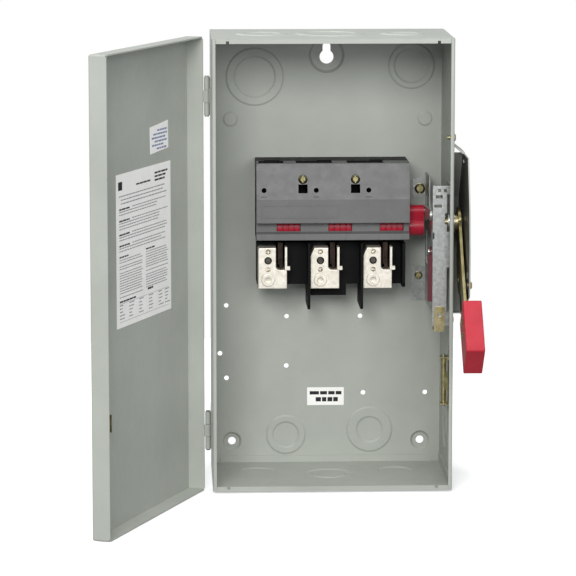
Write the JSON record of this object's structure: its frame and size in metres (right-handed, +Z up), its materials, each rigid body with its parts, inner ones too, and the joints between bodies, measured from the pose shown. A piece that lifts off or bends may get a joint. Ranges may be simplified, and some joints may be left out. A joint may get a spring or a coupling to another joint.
{
  "type": "ac disconnect box",
  "caption": "Indoor safety switch in a grey steel wall case with a side-hinged door, external red swing handle and visible switch mechanism.",
  "frame": {"origin": "midpoint between the two lower wall mounting holes, on the wall plane", "axes": "+X to the right when facing the switch, +Y into the wall, +Z up"},
  "size_m": [0.4505, 0.4179, 0.544],
  "materials": {
    "case_paint": "satin",
    "plain_steel": "satin",
    "yellow_zinc": "satin",
    "bright_zinc": "satin",
    "brass": "satin",
    "tinned_aluminium": "satin",
    "copper": "satin",
    "moulded_black": "matte",
    "moulded_grey": "matte",
    "red_moulding": "satin",
    "red_grip": "gloss",
    "label_white": "matte",
    "label_black": "satin"
  },
  "bodies": {
    "case": {"case_wrap": "case_paint", "top_endwall": "case_paint", "bottom_endwall": "case_paint", "hinge_leaves_case": "case_paint", "hinge_pins": "plain_steel", "hinge_bolts": "case_paint", "back_label": "label_white", "switch_base": "moulded_black", "line_shield": "moulded_grey", "shield_screws": "yellow_zinc", "line_lugs": "tinned_aluminium", "line_lug_screws": "plain_steel", "line_jaws": "copper", "load_base": "moulded_black", "phase_barriers": "moulded_black", "load_lugs": "tinned_aluminium", "lug_set_screws": "tinned_aluminium", "lug_fixing_screws": "yellow_zinc", "load_jaws": "copper", "load_terminal_posts": "tinned_aluminium", "mechanism_frame": "bright_zinc", "mechanism_foot": "bright_zinc", "mechanism_screws": "yellow_zinc", "spring_anchor": "yellow_zinc", "toggle_spring": "plain_steel", "shaft_bushing": "plain_steel", "interlock_pin": "plain_steel", "handle_guard": "case_paint", "guard_pin": "brass", "guard_screws": "yellow_zinc", "latch_bracket": "yellow_zinc", "latch_pin": "plain_steel", "latch_spring": "plain_steel", "latch_rivets": "plain_steel"},
    "door": {"door_pan": "case_paint", "hinge_leaves_door": "case_paint", "door_rivets": "case_paint", "door_striker": "yellow_zinc", "door_front_label": "label_black", "door_inner_label": "label_white", "door_small_label": "label_white"},
    "handle": {"handle_shaft": "yellow_zinc", "handle_arm": "yellow_zinc", "handle_grip": "red_grip", "grip_rivets": "yellow_zinc", "drive_crank": "yellow_zinc"},
    "link": {"drive_link": "bright_zinc"},
    "rotor": {"rotor_bar": "red_moulding", "rotor_crank_pin": "plain_steel", "switch_blades": "copper"},
    "interlock": {"interlock_lever": "red_moulding"},
    "latch": {"latch_catch": "yellow_zinc"}
  },
  "joints": [
    {"name": "door_hinge", "type": "hinge", "parent": "case", "child": "door", "pos_m": [-0.1485, -0.146, 0.242], "axis": [0, 0, 1], "range_deg": [-55, 112]},
    {"name": "handle_pivot", "type": "hinge", "parent": "case", "child": "handle", "pos_m": [0.15, -0.13, 0.2906], "axis": [-1, 0, 0], "range_deg": [0, 92]},
    {"name": "link_pin", "type": "hinge", "parent": "handle", "child": "link", "pos_m": [0.118, -0.1363, 0.29961], "axis": [-1, 0, 0], "range_deg": [-92, 0]},
    {"name": "rotor_axis", "type": "hinge", "parent": "case", "child": "rotor", "pos_m": [0.003, -0.05, 0.275], "axis": [-1, 0, 0], "range_deg": [0, 46]},
    {"name": "interlock_pivot", "type": "hinge", "parent": "case", "child": "interlock", "pos_m": [0.118, -0.14, 0.256], "axis": [1, 0, 0], "range_deg": [0, 10], "stiffness_Nm_per_rad": 0.05, "springref_deg": -11.46},
    {"name": "latch_pivot", "type": "hinge", "parent": "case", "child": "latch", "pos_m": [0.1336, -0.148, 0.102], "axis": [0, 0, -1], "range_deg": [0, 16], "deforming": ["latch_spring"]}
  ],
  "couplings": [
    {"joint": "link_pin", "follows": "handle_pivot", "ratio": -1},
    {"joint": "rotor_axis", "follows": "handle_pivot", "ratio": 0.5}
  ]
}
